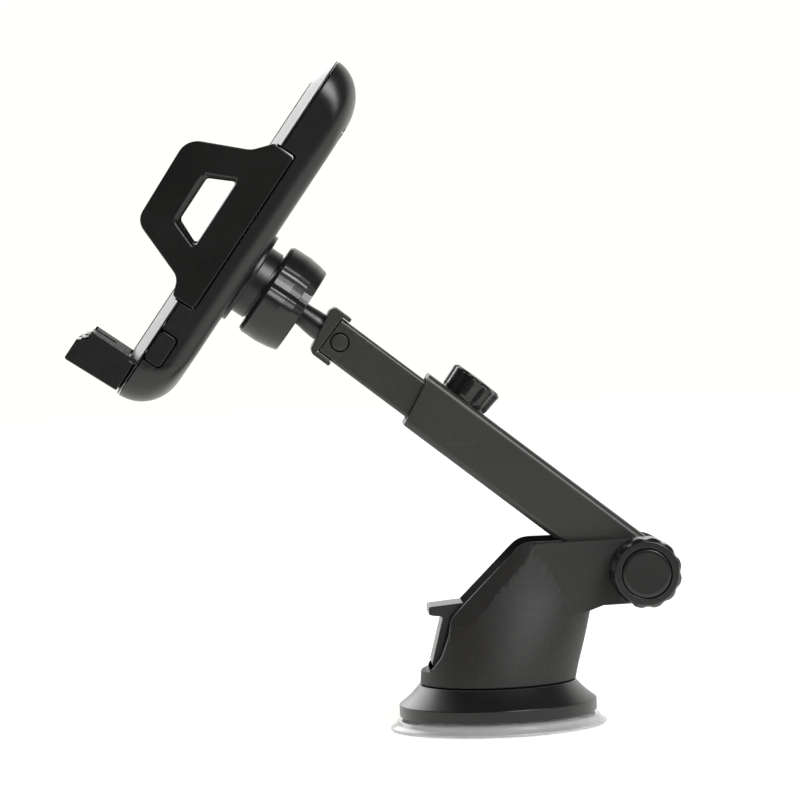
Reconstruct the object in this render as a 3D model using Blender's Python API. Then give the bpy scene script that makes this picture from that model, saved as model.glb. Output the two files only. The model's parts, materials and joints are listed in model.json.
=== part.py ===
"""Telescopic dashboard phone mount: suction base, folding arm, ball joint and spring-open cradle.

Lengths in the functions below are millimetres in one of three frames; put() turns them into metres.
BASE: X forward to back, Y across, Z up, origin under the middle of the suction cup.
ARM: X along the arm from its pivot, Z up across the arm. CRADLE: X towards the phone, Z up its back.
"""
import math

import bmesh
import bpy
from mathutils import Matrix, Vector

MM = 0.001
GAP = 0.3

CUP_R = 35.2
RING_R, RING_TOP_R = 32.1, 25.4
RING_BOTTOM_Z, RING_TOP_Z = 4.3, 14.4
TURRET_Z, CREST_Z = 14.7, 60.2
CHANNEL_Y, CHEEK_Y = 10.9, 13.5
PIVOT = (48.0, 49.5)
PIVOT_R = 10.5
LEVER_PIN = (-6.0, 24.0)
WELL_FLOOR_Z = 18.0

ARM_ANGLE = 39.3
OUTER_Y, OUTER_H, OUTER_MOUTH = 9.6, 9.1, 91.4
INNER_Y, INNER_H, INNER_START, INNER_END = 7.5, 6.6, 44.0, 126.0
THUMB_S, THUMB_R, THUMB_TOP = 78.9, 8.9, 16.8
CAP_PIN_S = 122.3
BALL_S, BALL_R = 145.0, 8.2

CRADLE_TILT = 36.0
BACK_T, PARTING_T, EDGE_T, FACE_T, PAD_T = 13.6, 27.4, 28.2, 31.0, 31.2
PAD_SEAT_T, PAD_Y, PAD_LOW, PAD_HIGH = 29.4, 16.0, -40.2, 63.3
BODY_LOW, BODY_HIGH, BODY_Y, BODY_CORNER = -54.2, 73.4, 28.0, 14.0
SHELL_WALL = 2.0
WING_IN_Y = 24.6
WING_LOW, WING_HIGH, WING_BACK_T = -17.9, 40.2, 22.5
PINION_L, PINION_R, PINION_TEETH = 14.0, 5.6, 14
PINION_LOW_T, PINION_HIGH_T = 17.7, 26.2
RACK_LOW_T, RACK_HIGH_T = 22.9, 26.1
OPENING_SPRING_T, OPENING_SPRING_L = 24.9, 28.0
TOP_SWEEP, BOTTOM_SWEEP = 17.0, 14.0
NUT_R = 16.2
FOOT_FRONT_T, FOOT_TOP, FOOT_Y = 48.3, -42.7, 26.5


# ---------------------------------------------------------------- frames and helpers

def frame(x, z, x_axis, z_axis):
    """A frame in the XZ plane whose Y axis is what the other two axes give."""
    y_axis = z_axis.cross(x_axis)
    turn = Matrix((x_axis, y_axis, z_axis)).transposed().to_4x4()
    return Matrix.Translation((x * MM, 0, z * MM)) @ turn


def tilted_frames():
    rise = math.radians(ARM_ANGLE)
    along = Vector((-math.cos(rise), 0, math.sin(rise)))
    arm = frame(*PIVOT, along, Vector((math.sin(rise), 0, math.cos(rise))))
    ball_x = PIVOT[0] + BALL_S * along.x
    ball_z = PIVOT[1] + BALL_S * along.z
    lean = math.radians(CRADLE_TILT)
    front = Vector((-math.cos(lean), 0, math.sin(lean)))
    cradle = frame(ball_x, ball_z, front, Vector((math.sin(lean), 0, math.cos(lean))))
    return arm, cradle


BASE = Matrix.Identity(4)
ARM, CRADLE = tilted_frames()


def put(name, bm, material, place=BASE, at=(0, 0, 0)):
    """Makes an object of a millimetre mesh; its origin is the point at in the frame called place."""
    bmesh.ops.recalc_face_normals(bm, faces=bm.faces)
    bmesh.ops.translate(bm, vec=-Vector(at), verts=bm.verts)
    bmesh.ops.scale(bm, vec=(MM, MM, MM), verts=bm.verts)
    mesh = bpy.data.meshes.new(name)
    bm.to_mesh(mesh)
    bm.free()
    obj = bpy.data.objects.new(name, mesh)
    bpy.context.scene.collection.objects.link(obj)
    obj.matrix_world = place @ Matrix.Translation(Vector(at) * MM)
    if material is None:
        obj.hide_render = True
        obj.display_type = "WIRE"
    else:
        mesh.materials.append(material)
        mesh.shade_smooth()
        mesh.set_sharp_from_angle(angle=math.radians(30))
    return obj


def combine(obj, operation, tools, place=BASE):
    """Applies a Boolean with each millimetre mesh in tools, in the order given."""
    for number, bm in enumerate(tools):
        tool = put(f"{obj.name}_{operation.lower()}_{number}", bm, None, place)
        modifier = obj.modifiers.new(tool.name, "BOOLEAN")
        modifier.operation = operation
        modifier.solver = "EXACT"
        modifier.object = tool


def point_on(axis, depth, a, b):
    """The point at depth along an axis, with a and b along the other two in order."""
    spot = [a, b]
    spot.insert("xyz".index(axis), depth)
    return spot


def prism(outline, low, high, axis="y"):
    """A closed outline of (a, b) points pushed from low to high along an axis."""
    bm = bmesh.new()
    rings = [[bm.verts.new(point_on(axis, depth, a, b)) for a, b in outline] for depth in (low, high)]
    bm.faces.new(rings[0])
    bm.faces.new(rings[1])
    for i in range(len(outline)):
        j = (i + 1) % len(outline)
        bm.faces.new((rings[0][i], rings[0][j], rings[1][j], rings[1][i]))
    return bm


def block(x, y, z):
    return prism([(x[0], z[0]), (x[1], z[0]), (x[1], z[1]), (x[0], z[1])], *y)


def turned(profile, steps, axis="z", centre=(0, 0), lobes=0, depth=0.0, floor_r=0.0, first=0.0):
    """Turns a closed (radius, height) profile; grooves as deep as floor_r part its lobes."""
    bm = bmesh.new()
    columns = []
    for radius, height in profile:
        if radius == 0:
            columns.append([bm.verts.new(point_on(axis, height, *centre))] * steps)
            continue
        grooved = depth if lobes and radius > floor_r else 0.0
        column = []
        for step in range(steps):
            angle = 2 * math.pi * step / steps
            groove = grooved * (0.5 + 0.5 * math.cos(lobes * (angle - first))) ** 2
            r = max(radius - groove, min(radius, floor_r))
            u = centre[0] + r * math.cos(angle)
            v = centre[1] + r * math.sin(angle)
            column.append(bm.verts.new(point_on(axis, height, u, v)))
        columns.append(column)
    for i, here in enumerate(columns):
        there = columns[(i + 1) % len(columns)]
        for step in range(steps):
            after = (step + 1) % steps
            corners = list(dict.fromkeys((here[step], here[after], there[after], there[step])))
            if len(corners) > 2:
                bm.faces.new(corners)
    return bm


def rod(radius, low, high, axis="z", centre=(0, 0), steps=24):
    return turned([(0, low), (radius, low), (radius, high), (0, high)], steps, axis, centre)


def arc(centre, radius, start, end, steps):
    """Points on an arc, angles in degrees."""
    angles = [math.radians(start + (end - start) * i / steps) for i in range(steps + 1)]
    return [(centre[0] + radius * math.cos(a), centre[1] + radius * math.sin(a)) for a in angles]


def rounded(points, steps=3):
    """An outline from (a, b, corner radius) points, each corner cut by an arc."""
    outline = []
    for i, (a, b, radius) in enumerate(points):
        corner = Vector((a, b))
        if radius == 0:
            outline.append((a, b))
            continue
        before = (Vector(points[i - 1][:2]) - corner).normalized()
        after = (Vector(points[(i + 1) % len(points)][:2]) - corner).normalized()
        half = before.angle(after) / 2
        middle = corner + (before + after).normalized() * radius / math.sin(half)
        first = corner + before * radius / math.tan(half) - middle
        last = corner + after * radius / math.tan(half) - middle
        sweep = math.atan2(first.x * last.y - first.y * last.x, first.dot(last))
        for step in range(steps + 1):
            angle = math.atan2(first.y, first.x) + sweep * step / steps
            outline.append((middle.x + radius * math.cos(angle), middle.y + radius * math.sin(angle)))
    return outline


def rounded_box(x, y, z, radius, axis, steps=3):
    """A block whose four edges along the axis are rounded."""
    spans = [x, y, z]
    low, high = spans.pop("xyz".index(axis))
    (a0, a1), (b0, b1) = spans
    outline = rounded([(a0, b0, radius), (a1, b0, radius), (a1, b1, radius), (a0, b1, radius)], steps)
    return prism(outline, low, high, axis)


def coil(axis_point, axis, low, high, radius, wire, turns, per_turn=9, sides=4):
    """A round-wire spring along an axis of its frame, with capped ends."""
    bm = bmesh.new()
    count = turns * per_turn
    rings = []
    for step in range(count + 1):
        angle = 2 * math.pi * step / per_turn
        height = low + wire + (high - low - 2 * wire) * step / count
        ring = []
        for side in range(sides):
            around = 2 * math.pi * side / sides
            r = radius + wire * math.cos(around)
            u = axis_point[0] + r * math.cos(angle)
            v = axis_point[1] + r * math.sin(angle)
            d = height + wire * math.sin(around)
            ring.append(bm.verts.new(point_on(axis, d, u, v)))
        rings.append(ring)
    for here, there in zip(rings, rings[1:]):
        for side in range(sides):
            after = (side + 1) % sides
            bm.faces.new((here[side], here[after], there[after], there[side]))
    bm.faces.new(rings[0])
    bm.faces.new(rings[-1])
    return bm


def plastic(name, colour, roughness, metallic=0.0, transmission=0.0):
    material = bpy.data.materials.new(name)
    material.use_nodes = True
    shader = material.node_tree.nodes["Principled BSDF"]
    shader.inputs["Base Color"].default_value = (*colour, 1)
    shader.inputs["Roughness"].default_value = roughness
    shader.inputs["Metallic"].default_value = metallic
    shader.inputs["Transmission Weight"].default_value = transmission
    return material


for old in list(bpy.data.objects):
    bpy.data.objects.remove(old)

SATIN = plastic("satin_black", (0.022, 0.021, 0.020), 0.42)
GLOSS = plastic("gloss_black", (0.016, 0.016, 0.017), 0.22)
RUBBER = plastic("soft_rubber", (0.028, 0.028, 0.028), 0.75)
GEL = plastic("clear_gel", (0.90, 0.92, 0.93), 0.12, transmission=0.9)
NYLON = plastic("white_nylon", (0.72, 0.71, 0.67), 0.45)
STEEL = plastic("bright_steel", (0.62, 0.62, 0.61), 0.28, metallic=1.0)
BRASS = plastic("brass_insert", (0.72, 0.52, 0.24), 0.32, metallic=1.0)


# ---------------------------------------------------------------- suction base

def suction_cup():
    hub = [(13.0, 6.2), (3.6, 6.2), (3.6, 4.4), (11.4, 4.4), (11.4, 2.4), (0, 2.4)]
    put("suction_cup", turned([(0, 0), (CUP_R, 0), (CUP_R, 0.9), (31, 3.7), (15, 3.9)] + hub, 48), GEL)


def cup_stud():
    stem = turned([(0, 2.8), (11, 2.8), (11, 4.1), (3, 4.1), (3, 27.4), (0, 27.4)], 32)
    stud = put("cup_stud", stem, NYLON)
    combine(stud, "UNION", [block((-2.6, 3.2), (-7.4, 7.4), (25, 27.8))])
    put("cup_spring", coil((0, 0), "z", 6.6, 16.0, 6.0, 0.5, 4, 12, 4), STEEL)


def base_ring():
    outer = [(8.2, 12.6), (22, 12.6), (29.8, 6.6), (29.8, RING_BOTTOM_Z)]
    rim = [(RING_R, RING_BOTTOM_Z), (RING_R, 8.1), (RING_TOP_R, RING_TOP_Z), (8.2, RING_TOP_Z)]
    ring = put("base_ring", turned(outer + rim, 48), SATIN)
    combine(ring, "DIFFERENCE", [rod(1.5, 12, 15, centre=spot) for spot in ring_screw_spots()])
    for number, spot in enumerate(ring_screw_spots(), 1):
        profile = [(0, 10.6), (2.4, 10.6), (2.6, 12.2), (1.1, 12.2), (1.1, 19.4), (0, 19.4)]
        put(f"ring_screw_{number}", turned(profile, 12, centre=spot), STEEL)


def ring_screw_spots():
    return [(13.1 * i, 13.1 * j) for i in (-1, 1) for j in (-1, 1)]


def turret_body():
    """The round body: stacked rings that start as a circle and narrow towards the fork."""
    stations = [(TURRET_Z, -25.0, 25.6, 25.2), (19, -24.6, 26.6, 24.9), (26, -23.8, 28.6, 23.4)]
    stations += [(33, -23.0, 30.4, 21.2), (39, -22.0, 31.6, 18.8), (46, -20.0, 31.8, 16.2)]
    stations += [(CREST_Z + 1, -14.0, 31.8, 13.2)]
    sides = 46
    bm = bmesh.new()
    rings = []
    for height, front, back, half in stations:
        middle, reach = (front + back) / 2, (back - front) / 2
        ring = []
        for step in range(sides):
            angle = 2 * math.pi * step / sides
            ring.append(bm.verts.new((middle + reach * math.cos(angle), half * math.sin(angle), height)))
        rings.append(ring)
    bm.faces.new(rings[0])
    bm.faces.new(rings[-1])
    for here, there in zip(rings, rings[1:]):
        for step in range(sides):
            after = (step + 1) % sides
            bm.faces.new((here[step], here[after], there[after], there[step]))
    return bm


def turret_housing():
    end = arc(PIVOT, PIVOT_R, -90, 90, 12)
    fork = prism([(3, 46.3), (15, 33.4), (27.3, 36.2), (34.6, 38.7)] + end + [(3, 59.6)], -CHEEK_Y, CHEEK_Y)
    opening = [(-40, 19.2), (-22.6, 19.3), (-20.8, 21.1), (-18.4, 24.2), (-15.8, 30.9), (-14.7, 36.7)]
    crest = opening + [(6.4, 57.4), (9.2, 59.4), (13, CREST_Z), (70, CREST_Z), (70, 80), (-40, 80)]
    channel = [(-21.4, WELL_FLOOR_Z), (9.5, WELL_FLOOR_Z), (9.5, 50), (36.5, 41), (36.5, 30)]
    channel += [(75, 30), (75, 90), (-40, 90), (-40, 19.4), (-21.4, 19.4)]
    turret = put("turret_housing", turret_body(), SATIN)
    combine(turret, "UNION", [fork])
    cuts = [prism(crest, -40, 40), prism(channel, -CHANNEL_Y, CHANNEL_Y)]
    cuts += [rod(3.6, 14, 19), rod(8.2, 14, 16.4), rod(3.3, -20, 20, "y", PIVOT)]
    cuts += [rod(2.0, -12.3, 12.3, "y", LEVER_PIN), block((12, 21.5), (-9, 9), (14, 36))]
    cuts += [rod(1.4, 14, 20, centre=spot, steps=12) for spot in ring_screw_spots()]
    combine(turret, "DIFFERENCE", cuts)


def lock_lever():
    tab = [(-21.6, 40.2), (-21.6, 37.7), (-20.6, 37.4), (-17.1, 37.0), (-21.2, 22.0), (-21.0, 21.2)]
    tab += [(-18.6, 21.2), (-14.4, 37.2), (-10.2, 38.8), (-10.2, 41.2)]
    hub = arc(LEVER_PIN, 2.9, 60, 150, 6) + [(-19.4, 26.2), (-19.6, 21.8), (-8, 20.9)]
    hub += arc(LEVER_PIN, 2.9, 250, 300, 4) + [(2.0, 22.6), (2.0, 24.6), (0, 24.6), (-3.2, 23.3)]
    pin_x, pin_z = LEVER_PIN
    lever = put("lock_lever", prism(tab, -8.5, 8.5), SATIN, at=(pin_x, 0, pin_z))
    combine(lever, "UNION", [prism(hub, 3.9, 7.2), prism(hub, -7.2, -3.9)])
    combine(lever, "DIFFERENCE", [rod(1.9, -9, 9, "y", LEVER_PIN)])
    put("lever_pin", rod(1.6, -12.0, 12.0, "y", LEVER_PIN), STEEL)


# ---------------------------------------------------------------- arm pivot

def pivot_parts():
    knob_end = -25.8
    profile = [(3.4, -14), (11.0, -14), (11.4, -15), (11.4, -24.4), (10.2, knob_end), (8.1, knob_end)]
    profile += [(8.1, -24.1), (3.4, -24.1)]
    grip = turned(profile, 48, "y", PIVOT, 12, 0.7, 10.5)
    knob = put("pivot_knob", grip, GLOSS, at=(PIVOT[0], -18, PIVOT[1]))
    hexagon = arc(PIVOT, 5.4, 0, 300, 5)
    combine(knob, "DIFFERENCE", [prism(hexagon, -18.6, -13)])
    put("knob_cap", rod(7.8, knob_end - 0.3, -24.4, "y", PIVOT, 40), GLOSS)
    insert = put("knob_insert", prism(arc(PIVOT, 5.0, 0, 300, 5), -18.3, -14.2), BRASS)
    combine(insert, "DIFFERENCE", [rod(3.3, -20, -12, "y", PIVOT)])
    bolt = put("pivot_bolt", rod(3.0, -21.5, 14.5, "y", PIVOT), STEEL)
    combine(bolt, "UNION", [prism(arc(PIVOT, 5.2, 0, 300, 5), 13.8, 17.4)])
    cover = [(0, 19.4), (7.8, 19.4), (8.8, 18.4), (8.8, 13.8), (6.0, 13.8), (6.0, 17.8), (0, 17.8)]
    put("bolt_cover", turned(cover, 32, "y", PIVOT), SATIN)
    for name, low in (("near_washer", -10.6), ("far_washer", 9.9)):
        ring = [(3.4, low), (8.6, low), (8.6, low + 0.7), (3.4, low + 0.7)]
        put(name, turned(ring, 24, "y", PIVOT), NYLON)


# ---------------------------------------------------------------- telescopic arm

def outer_tube():
    end = arc((0, 0), OUTER_H, 90, 270, 14)
    side = end + [(OUTER_MOUTH - 1.6, -OUTER_H), (OUTER_MOUTH + 1.6, OUTER_H)]
    tube = put("outer_tube", prism(side, -OUTER_Y, OUTER_Y), SATIN, ARM)
    section = rounded_box((0, OUTER_MOUTH + 10), (-7.9, 7.9), (-7.1, 7.1), 1.0, "x", 2)
    bmesh.ops.translate(section, vec=(14, 0, 0), verts=section.verts)
    skin = rounded_box((-30, OUTER_MOUTH + 10), (-OUTER_Y, OUTER_Y), (-OUTER_H, OUTER_H), 1.6, "x")
    combine(tube, "INTERSECT", [skin], ARM)
    holes = [rod(3.4, -20, 20, "y"), rod(4.6, 5, 12, centre=(THUMB_S, 0))]
    combine(tube, "DIFFERENCE", [section] + holes, ARM)


def thumb_screw():
    top, base = THUMB_TOP, OUTER_H + GAP
    profile = [(0, base), (THUMB_R - 0.6, base), (THUMB_R, base + 0.8), (THUMB_R - 0.5, top - 1.2)]
    profile += [(THUMB_R - 1.9, top), (0, top + 0.3)]
    knob = turned(profile, 48, centre=(THUMB_S, 0), lobes=8, depth=1.1, floor_r=7.5)
    knob = put("thumb_knob", knob, GLOSS, ARM, (THUMB_S, 0, base))
    combine(knob, "DIFFERENCE", [rod(2.6, 9, 14.0, centre=(THUMB_S, 0), steps=16)], ARM)
    put("thumb_screw", rod(2.2, 8.3, 13.7, centre=(THUMB_S, 0), steps=16), STEEL, ARM)
    sleeve = [(2.7, 7.4), (4.2, 7.4), (4.2, 8.9), (2.7, 8.9)]
    put("thumb_insert", turned(sleeve, 24, centre=(THUMB_S, 0)), BRASS, ARM)
    put("pressure_shoe", rod(2.3, 6.95, 8.0, centre=(THUMB_S, 0), steps=16), NYLON, ARM)


def inner_tube():
    bar = rounded_box((INNER_START, INNER_END), (-INNER_Y, INNER_Y), (-INNER_H, INNER_H), 1.2, "x")
    tube = put("inner_tube", bar, SATIN, ARM)
    hollow = block((INNER_START - 5, INNER_END + 5), (-5.9, 5.9), (-5.0, 5.0))
    combine(tube, "DIFFERENCE", [hollow, rod(3.2, -10, 10, "y", (CAP_PIN_S, 0))], ARM)


def arm_end_cap():
    side = [(120.6, -8.3), (128.1, -8.3), (131.4, 8.3), (123.5, 8.3), (123.5, 6.9), (126.3, 6.9)]
    side += [(126.3, -6.9), (120.6, -6.9)]
    cap = put("arm_end_cap", prism(side, -8.6, 8.6), SATIN, ARM)
    combine(cap, "UNION", [block((117.5, 127), (-5.6, 5.6), (-4.7, 4.7))], ARM)
    combine(cap, "DIFFERENCE", [rod(4.5, 110, 140, "x"), rod(1.9, -10, 10, "y", (CAP_PIN_S, 0))], ARM)
    half = [(2.9, 7.9), (2.9, 6.2), (1.6, 6.2)]
    pin = [(0, 7.9)] + half + [(r, -y) for r, y in reversed(half)] + [(0, -7.9)]
    put("end_cap_pin", turned(pin, 24, "y", (CAP_PIN_S, 0)), SATIN, ARM)


def ball_stud():
    neck_end = BALL_S - 7.4
    ball = arc((BALL_S, 0), BALL_R, 155.5, 0, 10)
    profile = [(0, 118.5), (4.2, 118.5), (4.2, neck_end - 6), (3.4, neck_end - 0.1)]
    profile += [(r, s) for s, r in ball if r > 0.01] + [(0, BALL_S + BALL_R)]
    stud = put("ball_stud", turned(profile, 24, "x"), SATIN, ARM)
    combine(stud, "DIFFERENCE", [rod(1.9, -10, 10, "y", (CAP_PIN_S, 0))], ARM)


# ---------------------------------------------------------------- ball joint

def shell_arc(radius, start, end, steps):
    """(radius, height) points on a sphere about the ball's middle, angles from the joint's axis."""
    return [(r, t) for t, r in arc((0, 0), radius, start, end, steps)]


def ball_joint():
    liner = shell_arc(9.1, 15, 85, 5) + shell_arc(8.5, 85, 15, 5)
    put("ball_liner", turned(liner, 28, "x"), NYLON, CRADLE)
    seat = shell_arc(9.5, 14, 99, 6)
    outside = [(11.4, -1.5), (11.4, 7.6), (12.0, 7.6), (12.0, 12.1), (15.8, 12.1), (15.8, 13.3)]
    outside += [(8.9, 13.3), (8.9, 17.0), (2.3, 17.0)]
    put("ball_socket", turned(seat + outside, 32, "x"), SATIN, CRADLE)
    ring = shell_arc(8.5, 105, 119, 3) + [(8.4, -6.0), (11.0, -4.4), (11.0, -2.2)]
    put("clamp_ring", turned(ring, 28, "x"), NYLON, CRADLE)
    nut = [(9.4, -7.2), (13.8, -7.2), (15.9, -5.0), (NUT_R, 0), (15.9, 4), (14.6, 7.0), (11.75, 7.0)]
    nut += [(11.75, -4.9), (9.4, -6.6)]
    grip = turned(nut, 54, "x", lobes=3, depth=3.2, floor_r=13.3, first=math.radians(25))
    put("ring_nut", grip, GLOSS, CRADLE)
    screw = [(0, 9.8), (1.8, 9.8), (1.8, 17.3), (3.8, 17.3), (3.8, 19.0), (0, 19.3)]
    put("socket_screw", turned(screw, 16, "x"), STEEL, CRADLE)


# ---------------------------------------------------------------- cradle

def side_profile(inset, back, front):
    """The cradle's outline seen from the side: square to the phone, round at the back."""
    low, high, depth = BODY_LOW + inset, BODY_HIGH - inset, front - back
    top = arc((0, high - TOP_SWEEP), TOP_SWEEP, 90, 180, 6)
    bottom = arc((0, low + BOTTOM_SWEEP), BOTTOM_SWEEP, 180, 270, 6)
    outline = [(front + t * depth / TOP_SWEEP, height) for t, height in top]
    return outline + [(front + t * depth / BOTTOM_SWEEP, height) for t, height in bottom]


def face_outline(inset):
    """The cradle's outline seen by the phone, as (across, up) points."""
    side, low, high = BODY_Y - inset, BODY_LOW + inset, BODY_HIGH - inset
    corners = [(-side, low), (side, low), (side, high), (-side, high)]
    return rounded([(*corner, BODY_CORNER - inset) for corner in corners], 6)


def cover_screw_spots():
    return [(side * 18.5, height) for height in (-22, 54) for side in (-1, 1)]


def rear_shell():
    shell = put("rear_shell", prism(side_profile(0, BACK_T, PARTING_T), -BODY_Y, BODY_Y), SATIN, CRADLE)
    combine(shell, "INTERSECT", [prism(face_outline(0), 5, 40, "x")], CRADLE)
    inner = side_profile(SHELL_WALL, BACK_T + SHELL_WALL, PARTING_T)
    inner = [(PARTING_T + 5, inner[-1][1]), (PARTING_T + 5, inner[0][1])] + inner
    room = put("shell_room", prism(inner, -BODY_Y + SHELL_WALL, BODY_Y - SHELL_WALL), None, CRADLE)
    combine(room, "INTERSECT", [prism(face_outline(SHELL_WALL), 5, 40, "x")], CRADLE)
    hollow = shell.modifiers.new("room", "BOOLEAN")
    hollow.operation, hollow.solver, hollow.object = "DIFFERENCE", "EXACT", room
    posts = [rod(4.2, BACK_T + 1, 21.3, "x", spot, 16) for spot in cover_screw_spots()]
    seat = PINION_LOW_T - GAP
    spindle = [(0, BACK_T + 1), (2.6, BACK_T + 1), (2.6, seat), (1.7, seat), (1.7, 26.8), (0, 26.8)]
    combine(shell, "UNION", posts, CRADLE)
    cuts = [block((WING_BACK_T - 0.4, 40), (-40, 40), (WING_LOW - 0.5, WING_HIGH + 0.5))]
    cuts += [block((20.9, 40), (side * 34 - 10, side * 34 + 10), (-39.9, -28.3)) for side in (-1, 1)]
    cuts += [block((22.2, 40), (-8.4, 8.4), (-70, -46)), rod(9.3, 5, 16.5, "x")]
    cuts += [rod(1.6, 5, 30, "x", spot, 12) for spot in cover_screw_spots()]
    cuts += [rod(3.0, 5, BACK_T + 2.0, "x", spot, 16) for spot in cover_screw_spots()]
    combine(shell, "DIFFERENCE", cuts, CRADLE)
    spring_post = block((BACK_T + 1, 26.8), (-1.6, 1.6), (25.0, 31.0))
    combine(shell, "UNION", [turned(spindle, 16, "x", (0, PINION_L)), spring_post], CRADLE)


def front_cover():
    side = [(PARTING_T + GAP, BODY_LOW), (28.4, BODY_LOW), (29.3, BODY_LOW + 3.2), (FACE_T, -41.5)]
    side += [(FACE_T, 64.0), (EDGE_T, BODY_HIGH - 0.4), (PARTING_T + GAP, BODY_HIGH)]
    cover = put("front_cover", prism(side, -BODY_Y, BODY_Y), SATIN, CRADLE)
    crown = [(20, -28.5), (EDGE_T, -28.5), (FACE_T, -17.5), (FACE_T, 17.5), (EDGE_T, 28.5), (20, 28.5)]
    skins = [prism(face_outline(0), 20, 40, "x"), prism(crown, BODY_LOW - 1, BODY_HIGH + 1, "z")]
    combine(cover, "INTERSECT", skins, CRADLE)
    bosses = [rod(3.0, 21.7, PARTING_T + 1, "x", spot, 16) for spot in cover_screw_spots()]
    combine(cover, "UNION", bosses, CRADLE)
    wing_room = (WING_LOW - 0.5, WING_HIGH + 0.5)
    cuts = [block((20, 40), (side * 34 - 10, side * 34 + 10), wing_room) for side in (-1, 1)]
    pocket_y, foot_y = PAD_Y + GAP, FOOT_Y + GAP
    pad_pocket = ((-pocket_y, pocket_y), (PAD_LOW - GAP, PAD_HIGH + GAP))
    cuts += [rounded_box((PAD_SEAT_T, 40), *pad_pocket, 6 + GAP, "x")]
    cuts += [block((PAD_SEAT_T, 40), (-foot_y, foot_y), (-70, FOOT_TOP + 0.9))]
    cuts += [block((20, 40), (-8.4, 8.4), (-70, -43.4))]
    cuts += [rod(1.5, 20, 26.6, "x", spot, 12) for spot in cover_screw_spots()]
    combine(cover, "DIFFERENCE", cuts, CRADLE)
    pad = rounded_box((PAD_SEAT_T + GAP, PAD_T), (-PAD_Y, PAD_Y), (PAD_LOW, PAD_HIGH), 6, "x")
    put("front_pad", pad, RUBBER, CRADLE)
    for number, spot in enumerate(cover_screw_spots(), 1):
        profile = [(0, 14.0), (2.6, 14.0), (2.7, 15.2), (1.2, 15.3), (1.2, 26.0), (0, 26.0)]
        put(f"cover_screw_{number}", turned(profile, 12, "x", spot), STEEL, CRADLE)


def wing_outline():
    """The clamp wing seen from the side, as (towards the phone, up, corner radius) points."""
    foot = [(WING_BACK_T, WING_HIGH - 0.4, 1.2), (WING_BACK_T, WING_LOW, 1.2), (29.6, WING_LOW, 1.0)]
    low = [(31.6, -13.6, 3.0), (53.2, -4.6, 5.0)]
    return rounded(foot + low + [(55.0, 22.5, 6.0), (36.5, 34.6, 6.0), (29.4, WING_HIGH, 1.0)], 4)


def clamp_wing(name, side):
    """One clamp: outer wing, its rubber pad and the rack that ties it to the pinion."""
    outer, inner = side * BODY_Y, side * WING_IN_Y
    wing = put(f"{name}_wing", prism(wing_outline(), *sorted((outer, inner))), SATIN, CRADLE)
    window = rounded([(34.0, 23.6, 1.2), (34.0, -0.8, 1.0), (42.6, 3.6, 2.5), (42.6, 19.6, 2.5)], 3)
    combine(wing, "DIFFERENCE", [prism(window, *sorted((side * 20, side * 32)))], CRADLE)
    pad = rounded_box((44.6, 52.4), sorted((side * 24.3, side * 23.0)), (-0.5, 22.5), 3.2, "y")
    put(f"{name}_wing_pad", pad, RUBBER, CRADLE)
    put(f"{name}_rack", rack(side), NYLON, CRADLE)


def rack(side):
    """A toothed bar across the cradle: the right one runs above the pinion, the left one below."""
    pitch = 2 * math.pi * PINION_R / PINION_TEETH
    line = PINION_L + side * PINION_R
    low, high = -22.4, 24.2
    back, root, tip = line + side * 4.0, line + side * 1.0, line - side * 0.55
    outline = [(side * high, back), (side * low, back), (side * low, root)]
    across = low + 1
    for tooth in range(int((24.0 - low) / pitch)):
        middle = (tooth - 8.5) * pitch
        if low + 1.5 < middle < 6:
            outline += [(side * (middle - 0.62), root), (side * (middle - 0.28), tip)]
            outline += [(side * (middle + 0.28), tip), (side * (middle + 0.62), root)]
            across = middle
    outline += [(side * (across + 3), root), (side * high, root)]
    return prism(outline, RACK_LOW_T, RACK_HIGH_T, "x")


def pinion_gear():
    """Long enough for both racks and the latch; a tooth points straight up and another down at rest."""
    outline = []
    for tooth in range(PINION_TEETH):
        middle = 90 + 360 * tooth / PINION_TEETH
        for radius, offset in ((4.55, -6.6), (6.15, -2.6), (6.15, 2.6), (4.55, 6.6)):
            angle = math.radians(middle + offset)
            outline.append((radius * math.cos(angle), PINION_L + radius * math.sin(angle)))
    at = (PINION_LOW_T, 0, PINION_L)
    gear = put("pinion_gear", prism(outline, PINION_LOW_T, PINION_HIGH_T, "x"), NYLON, CRADLE, at)
    combine(gear, "DIFFERENCE", [rod(2.0, 10, 30, "x", (0, PINION_L), 16)], CRADLE)


def opening_springs():
    for name, low, high in (("right", 2.0, 24.2), ("left", -24.2, -2.0)):
        spring = coil((OPENING_SPRING_T, OPENING_SPRING_L), "y", low, high, 2.0, 0.35, 6)
        put(f"{name}_opening_spring", spring, STEEL, CRADLE)


def release_parts():
    """Side buttons whose ramps push the latch slider down against its spring."""
    bar = [(-8.4, 3.9), (-10.2, 0.5), (-10.2, -28.2), (-13.8, -28.2), (-19.2, -33.6), (-19.2, -36.0)]
    bar += [(19.2, -36.0), (19.2, -33.6), (13.8, -28.2), (-6.0, -28.2), (-6.0, 0.5), (-7.6, 3.9)]
    slider = put("release_slider", prism(bar, 17.6, 20.4, "x"), NYLON, CRADLE)
    combine(slider, "DIFFERENCE", [rod(5.2, 10, 30, "x", (0, -36.0), 16)], CRADLE)
    put("latch_spring", coil((19.0, 0), "z", -43.6, -31.4, 1.7, 0.35, 4), STEEL, CRADLE)
    for name, side in (("right", 1), ("left", -1)):
        head = rounded_box((21.4, 27.3), sorted((side * 22.0, side * 28.8)), (-39.4, -28.8), 1.4, "y")
        button = put(f"{name}_button", head, SATIN, CRADLE)
        ramp = [(side * 14.6, -28.4), (side * 20.0, -33.8), (side * 24.8, -33.8), (side * 24.8, -28.9)]
        ramp += [(side * 18.0, -28.4)]
        combine(button, "UNION", [prism(ramp, 17.6, 22.4, "x")], CRADLE)


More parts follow.
